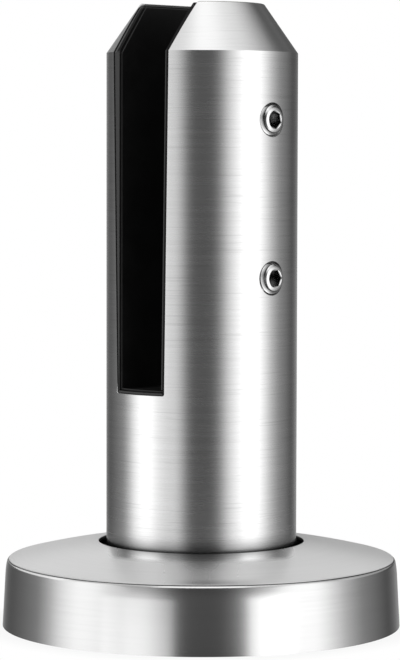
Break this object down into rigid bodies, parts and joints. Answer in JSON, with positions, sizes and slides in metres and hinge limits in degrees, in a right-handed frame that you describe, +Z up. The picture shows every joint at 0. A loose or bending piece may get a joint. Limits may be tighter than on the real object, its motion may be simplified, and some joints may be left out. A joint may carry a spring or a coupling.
{
  "type": "glass spigot",
  "caption": "Round stainless glass spigot: a slotted post with rubber lining and clamp screws on a bolted flange under a domed cover.",
  "frame": {"origin": "centre of the flange's underside, on the deck", "axes": "+Z up along the post, +Y along the glass slot, +X towards the clamp screws"},
  "size_m": [0.1046, 0.1046, 0.1626],
  "materials": {
    "satin_steel": "satin, fine lines brushed round the post",
    "bright_steel": "bright machined",
    "black_rubber": "matt black"
  },
  "bodies": {
    "spigot": {"spigot_body": "satin_steel", "slot_liner": "black_rubber"},
    "cover": {"base_cover": "satin_steel"},
    "clamp": {"pressure_plate": "bright_steel", "clamp_pad": "black_rubber"},
    "upper_screw": {"upper_grub_screw": "bright_steel"},
    "lower_screw": {"lower_grub_screw": "bright_steel"}
  },
  "joints": [
    {"name": "cover_lift", "type": "slide", "parent": "spigot", "child": "cover", "axis": [0, 0, 1], "range_m": [0, 0.038]},
    {"name": "clamp_press", "type": "slide", "parent": "spigot", "child": "clamp", "axis": [-1, 0, 0], "range_m": [0, 0.002]},
    {"name": "upper_screw_turn", "type": "hinge", "parent": "clamp", "child": "upper_screw", "pos_m": [0.025, 0, 0.13235], "axis": [-1, 0, 0], "range_deg": [0, 580]},
    {"name": "lower_screw_turn", "type": "hinge", "parent": "clamp", "child": "lower_screw", "pos_m": [0.025, 0, 0.0918], "axis": [-1, 0, 0], "range_deg": [0, 580]}
  ],
  "couplings": [
    {"joint": "upper_screw_turn", "follows": "clamp_press", "rad_per_m": 5026.5},
    {"joint": "lower_screw_turn", "follows": "clamp_press", "rad_per_m": 5026.5}
  ]
}
